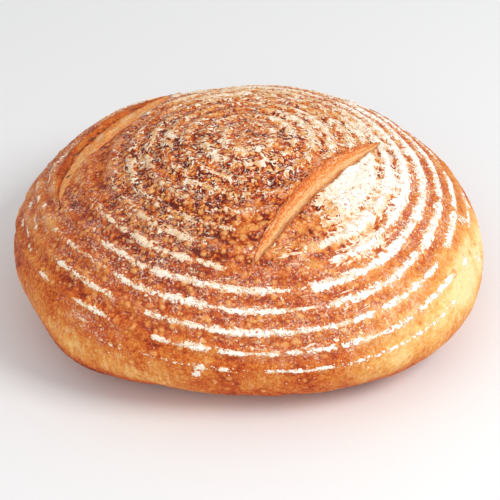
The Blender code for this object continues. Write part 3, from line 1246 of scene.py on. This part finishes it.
def newMaterial(name):
    # a material, its node tree and its Principled shader
    material = bpy.data.materials.new(name)
    material.use_nodes = True
    tree = material.node_tree
    return material, tree, tree.nodes["Principled BSDF"]


# Colours of the opened slashes, from the outer lip to the inner one. The darker ends at the lips are
# toasting with painted shade under the lips; the crease colour and the left slash's darker stops near
# its crease are painted shade
openedTints = {
    "right": (
        (0.00, (160, 74, 40)), (0.06, (206, 98, 44)), (0.22, (230, 128, 56)), (0.40, (236, 152, 80)),
        (0.56, (248, 196, 136)), (0.68, (236, 176, 116)), (0.84, (222, 136, 74)), (1.00, (176, 84, 48)),
    ),
    "left": (
        (0.00, (206, 110, 60)), (0.10, (222, 108, 48)), (0.18, (202, 84, 36)), (0.27, (186, 70, 28)),
        (0.35, (238, 124, 52)), (0.50, (255, 162, 84)), (0.76, (255, 174, 100)), (1.00, (240, 142, 78)),
    ),
    "crease": (112, 36, 16),
    "paleGrain": (253, 214, 154),
    "burntGrain": (198, 94, 38),
    "crumb": (244, 208, 160),
}


def openedLook(tree, place, across, along, side):
    # The opened floor of a slash: strands along it, darker at the lips from toasting and painted
    # shade, patches of painted shade in the crease, and a grain as fine as crumb
    stretched = addNode(tree, "ShaderNodeCombineXYZ", {
        0: times(tree, across, 0.006),
        1: times(tree, along, 0.00012),
        2: times(tree, side, 0.2),
    }).outputs[0]
    strands = noiseValue(tree, stretched, 620.0, 4.0, 0.65, 0.3)
    grain = noiseValue(tree, place, 760.0, 2.0, 0.65)
    moved = timesPlus(tree, strands, 0.6, calculate(tree, "ADD", across, -0.3))
    level = timesPlus(tree, moved, 0.5, 0.5)
    leftTone = colorRamp(tree, level, openedTints["left"])
    # painted shade: dark patches along the crease of the left slash
    patch = between(tree, noiseValue(tree, place, 130.0, 3.0, 0.6, 0.5), 0.50, 0.60)
    crease = times(tree, between(tree, level, 0.06, 0.16), between(tree, level, 0.36, 0.27))
    leftTone = paint(tree, times(tree, crease, patch), leftTone, openedTints["crease"])
    tone = mixColors(tree, side, colorRamp(tree, level, openedTints["right"]), leftTone)
    outer = times(tree, side, between(tree, across, -0.1, -0.5))
    pale = between(tree, grain, 0.50, 0.60, 0.0, 0.66)
    pale = times(tree, pale, timesPlus(tree, outer, -0.3, 0.5))
    tone = paint(tree, pale, tone, openedTints["paleGrain"])
    burnt = between(tree, grain, 0.48, 0.40, 0.0, 0.66)
    burnt = times(tree, burnt, timesPlus(tree, side, 0.1, 0.6))
    tone = paint(tree, burnt, tone, openedTints["burntGrain"])
    crumb = between(tree, strands, 0.53, 0.60, 0.0, 0.68)
    crumb = times(tree, crumb, timesPlus(tree, outer, -0.8, 1.0))
    tone = paint(tree, crumb, tone, openedTints["crumb"])
    # the outer wall of the left slash keeps some of its crust
    kept = between(tree, timesPlus(tree, strands, 0.7, across), -0.30, -0.55)
    return {"Color": tone, "Strands": strands, "Crust": times(tree, side, kept)}


crustTints = {
    "veil": (206, 142, 122),
    "haze": (244, 200, 172),
    "brushed": (250, 214, 158),
    # painted shade round the foot of the blisters
    "footShade": (132, 50, 32),
    # the darkest blister orange, and the pale tone of the painted highlight on their cores
    "blister": ((216, 102, 34), (252, 190, 116)),
    # painted shade inside the torn holes
    "pit": (98, 34, 18),
    # painted shadow in a narrow border beside the flour specks
    "shadowBesideFlour": (122, 46, 30),
    "looseFlour": ((234, 184, 128), (255, 243, 222)),
    "thickFlour": (253, 249, 240),
}


def crustMaterial(groups):
    # Baked colour, haze, streaks, blisters, slashes and flour, each laid over the one before, with
    # painted shade at the blister feet, slash lips and creases, holes and flour borders and a painted
    # highlight on the blisters; the same masks raise the surface a little and roughen it
    material, tree, shader = newMaterial("crust")
    place = objectPlace(tree)
    flow = attributeValue(tree, "flow", "Vector")
    toast = attributeValue(tree, "toast")
    band = attributeValue(tree, "band")
    loose = attributeValue(tree, "loose")
    blister = attributeValue(tree, "blister")
    bubbly = attributeValue(tree, "bubbly")
    gap = attributeValue(tree, "cutGap")
    ring = attributeValue(tree, "ring")
    cut = addNode(tree, "ShaderNodeSeparateXYZ", {0: attributeValue(tree, "cut", "Vector")}).outputs

    baked = placeGroup(tree, groups["baked"], {
        "Vector": place, "Toast": toast, "Scale": 300.0,
        "Mottle": between(tree, ring, 66.0, 94.0, 2.2, 1.1),
        "Grain": between(tree, toast, 0.10, 0.50, 0.22, 0.55),
    })
    color = baked["Color"]
    # fine specks of flour dull the toasted crust
    hazy = between(tree, noiseValue(tree, place, 150.0), 0.35, 0.65, 0.20, 0.50)
    hazy = times(tree, hazy, between(tree, loose, 0.05, 0.16))
    hazy = times(tree, hazy, between(tree, loose, 0.36, 0.20, 0.2, 1.0))
    haze = placeGroup(tree, groups["speckle"], {
        "Vector": place, "Cover": hazy, "Scale": 950.0, "Edge": 0.03,
    })
    veil = times(tree, hazy, between(tree, ring, 60.0, 80.0, 0.0, 0.36))
    color = paint(tree, veil, color, crustTints["veil"])
    haze = times(tree, haze["Mask"], between(tree, hazy, 0.04, 0.14, 0.0, 0.62))
    color = paint(tree, haze, color, crustTints["haze"])
    # faint streaks run down the pale sides
    down = addNode(tree, "ShaderNodeVectorMath", {0: flow, 1: (0.25, 4.4, 4.4)}, operation="MULTIPLY")
    brushed = between(tree, noiseValue(tree, down.outputs[0], 620.0, 3.0, 0.65), 0.50, 0.66, 0.0, 0.46)
    brushed = times(tree, brushed, between(tree, toast, 0.50, 0.30))
    color = paint(tree, brushed, color, crustTints["brushed"])

    # blisters in two small sizes and the modelled ones: more orange than what lies round them, with
    # painted shade in a ring round their feet and a painted highlight on their cores
    wide = placeGroup(tree, groups["bubble"], {
        "Vector": place, "Chance": times(tree, bubbly, 0.78), "Scale": 210.0, "Size": 0.46,
    })
    small = placeGroup(tree, groups["bubble"], {
        "Vector": place, "Chance": times(tree, bubbly, 0.70), "Scale": 370.0, "Size": 0.44,
    })
    dome = larger(tree, wide["Dome"], small["Dome"])
    dome = larger(tree, dome, between(tree, blister, 0.10, 0.50, 0.0, 0.85))
    core = larger(tree, wide["Core"], small["Core"])
    core = larger(tree, core, between(tree, blister, 0.25, 1.0))
    # painted shade: a dark ring round the foot of each blister, the modelled ones too
    footShade = larger(tree, wide["FootShade"], times(tree, small["FootShade"], 0.6))
    modelledFootShade = times(tree, between(tree, blister, 0.0, 0.05), between(tree, blister, 0.30, 0.10))
    footShade = larger(tree, footShade, times(tree, modelledFootShade, 0.5))
    footShade = times(tree, footShade, between(tree, toast, 0.30, 0.50, 0.05, 0.42))
    color = paint(tree, footShade, color, crustTints["footShade"])
    # painted highlight: each blister's core, with some noise, moves its tone towards the pale end
    paintedHighlight = timesPlus(tree, core, 0.16, noiseValue(tree, place, 260.0, 4.0, 0.75))
    blisterTone = mixColors(tree, between(tree, paintedHighlight, 0.43, 0.72), *map(linear, crustTints["blister"]))
    color = mixColors(tree, times(tree, dome, 0.76), color, blisterTone)

    # slashes
    inside = between(tree, gap, 1.03, 0.93)
    opened = openedLook(tree, place, *cut)
    bare = times(tree, inside, timesPlus(tree, opened["Crust"], -0.8, 1.0))
    color = mixColors(tree, bare, color, opened["Color"])
    # painted shade in the torn holes of the left slash, darker where they are deeper
    pit = between(tree, attributeValue(tree, "pit"), 0.15, 0.8, 0.0, 0.9)
    color = paint(tree, pit, color, crustTints["pit"])

    # flour: thin and tan where it was toasted, white where it lies thick
    cover = larger(tree, loose, times(tree, band, 0.85))
    specks = placeGroup(tree, groups["speckle"], {
        "Vector": place, "Cover": cover, "Scale": 420.0, "Edge": 0.008,
    })
    streaked = placeGroup(tree, groups["speckle"], {
        "Vector": flow, "Cover": cover, "Scale": 420.0, "Edge": 0.008,
    })
    dust = larger(tree, specks["Mask"], times(tree, streaked["Mask"], 0.85))
    dust = times(tree, dust, between(tree, cover, 0.06, 0.18))
    # painted shadow: a dark border beside the flour specks on the crown
    flourShadow = times(tree, specks["Beside"], between(tree, loose, 0.16, 0.34, 0.0, 0.46))
    flourShadow = times(tree, flourShadow, between(tree, ring, 90.0, 70.0))
    color = paint(tree, flourShadow, color, crustTints["shadowBesideFlour"])
    tanned = between(tree, noiseValue(tree, place, 270.0, 3.0, 0.65), 0.40, 0.60)
    looseTone = mixColors(tree, tanned, *map(linear, crustTints["looseFlour"]))
    flourTone = paint(tree, between(tree, cover, 0.48, 0.95), looseTone, crustTints["thickFlour"])
    color = mixColors(tree, dust, color, flourTone)
    tree.links.new(color, shader.inputs["Base Color"])

    rough = between(tree, dust, 0.0, 1.0, 0.55, 0.95)
    rough = larger(tree, rough, times(tree, inside, 0.85))
    tree.links.new(rough, shader.inputs["Roughness"])
    fine = noiseValue(tree, place, 900.0, 4.0, 0.65)
    relief = timesPlus(tree, dust, 0.22, times(tree, fine, 0.8))
    relief = timesPlus(tree, baked["Depth"], -0.25, relief)
    relief = timesPlus(tree, times(tree, inside, opened["Strands"]), 2.6, relief)
    relief = timesPlus(tree, wide["Core"], 1.9, relief)
    relief = timesPlus(tree, small["Core"], 1.1, relief)
    bump = addNode(tree, "ShaderNodeBump", {"Strength": 0.7, "Distance": 0.0005, "Height": relief})
    tree.links.new(bump.outputs[0], shader.inputs["Normal"])
    shader.inputs["Specular IOR Level"].default_value = 0.10
    return material


flourTints = {
    "powder": ((0.0, (232, 194, 148)), (0.5, (246, 226, 198)), (1.0, (254, 250, 241))),
    "crustBelow": (198, 118, 70),
}


def flourMaterial(groups):
    # Powder from tan to white, with crust in its pits where it lies thin
    material, tree, shader = newMaterial("flour")
    place = objectPlace(tree)
    tone = noiseValue(tree, place, 260.0, 3.0, 0.6)
    chalk = attributeValue(tree, "chalk")
    clean = timesPlus(tree, tone, 1.3, calculate(tree, "ADD", chalk, -0.65))
    color = colorRamp(tree, clean, flourTints["powder"])
    bare = between(tree, attributeValue(tree, "thick"), 0.0, 0.5, 0.55, 0.06)
    pits = placeGroup(tree, groups["speckle"], {
        "Vector": place, "Cover": bare, "Scale": 800.0, "Edge": 0.02,
    })
    color = paint(tree, times(tree, pits["Mask"], 0.85), color, flourTints["crustBelow"])
    tree.links.new(color, shader.inputs["Base Color"])
    tree.links.new(between(tree, tone, 0.3, 0.7, 0.88, 0.98), shader.inputs["Roughness"])
    relief = noiseValue(tree, place, 1400.0, 2.0, 0.6)
    bump = addNode(tree, "ShaderNodeBump", {"Strength": 0.5, "Distance": 0.0003, "Height": relief})
    tree.links.new(bump.outputs[0], shader.inputs["Normal"])
    shader.inputs["Specular IOR Level"].default_value = 0.2
    return material


studio = {
    "eye": (0.0007, -0.8284, 0.6298),  # from the middle of the loaf's base, in metres
    "pitch": 36.37,
    "yaw": -0.04,
    "lens": 135.8,
    "world": (1.0, 0.995, 0.99),
    "worldStrength": 0.66,
    "lamps": {
        "key": {"from": (0.75, -0.35, 0.85), "size": 0.5, "power": 7.0, "color": (1.0, 0.995, 0.985)},
        "fill": {"from": (-0.45, -1.0, 0.55), "size": 0.9, "power": 2.0, "color": (1.0, 0.995, 0.99)},
    },
    "floorTones": ((0.87, 0.88, 0.89, 1), (0.89, 0.90, 0.91, 1)),  # scene light
    "floorReach": 3.0,
}


def floorMaterial():
    # nearly one pale tone, with a slow change
    material, tree, shader = newMaterial("floor")
    tone = noiseValue(tree, objectPlace(tree), 3.0)
    color = mixColors(tree, tone, *studio["floorTones"])
    tree.links.new(color, shader.inputs["Base Color"])
    shader.inputs["Roughness"].default_value = 0.9
    shader.inputs["Specular IOR Level"].default_value = 0.1
    return material


def baseMiddle():
    return Vector(((loafLow[0] + loafHigh[0]) / 2, (loafLow[1] + loafHigh[1]) / 2, loafLow[2]))


def buildStudio():
    # camera, even world light, two soft lamps that face the loaf, and a square floor
    scene = bpy.context.scene
    scene.view_settings.view_transform = "Standard"
    middle = baseMiddle()
    camera = bpy.data.objects.new("camera", bpy.data.cameras.new("camera"))
    scene.collection.objects.link(camera)
    camera.location = middle + Vector(studio["eye"])
    camera.rotation_euler = (math.radians(90 - studio["pitch"]), 0, math.radians(studio["yaw"]))
    camera.data.lens = studio["lens"]
    camera.data.clip_start = 0.05
    scene.camera = camera
    world = bpy.data.worlds.new("studio")
    world.use_nodes = True
    world.node_tree.nodes["Background"].inputs["Color"].default_value = (*studio["world"], 1)
    world.node_tree.nodes["Background"].inputs["Strength"].default_value = studio["worldStrength"]
    scene.world = world
    for name, lamp in studio["lamps"].items():
        light = bpy.data.lights.new(name, "AREA")
        light.energy = lamp["power"]
        light.size = lamp["size"]
        light.color = lamp["color"]
        source = bpy.data.objects.new(name, light)
        source.location = middle + Vector(lamp["from"])
        source.rotation_euler = (-Vector(lamp["from"])).to_track_quat("-Z", "Y").to_euler()
        scene.collection.objects.link(source)
    corners = np.array(((-1, -1, 0), (1, -1, 0), (1, 1, 0), (-1, 1, 0))) * studio["floorReach"]
    floorMesh = makeMesh("floor", corners + (0, 0, loafLow[2]), np.array(((0, 1, 2, 3),)))
    floorMesh.materials.append(floorMaterial())
    floor = bpy.data.objects.new("floor", floorMesh)
    scene.collection.objects.link(floor)
    print("studio ready")


buildStudio()
groups = {"speckle": speckleGroup(), "baked": bakedGroup(), "bubble": bubbleGroup()}
scale, shift = buildCrust(crustMaterial(groups))
flourLook = flourMaterial(groups)
buildFlour(flourLook, scale, shift)
buildGrains(flourLook, scale, shift)
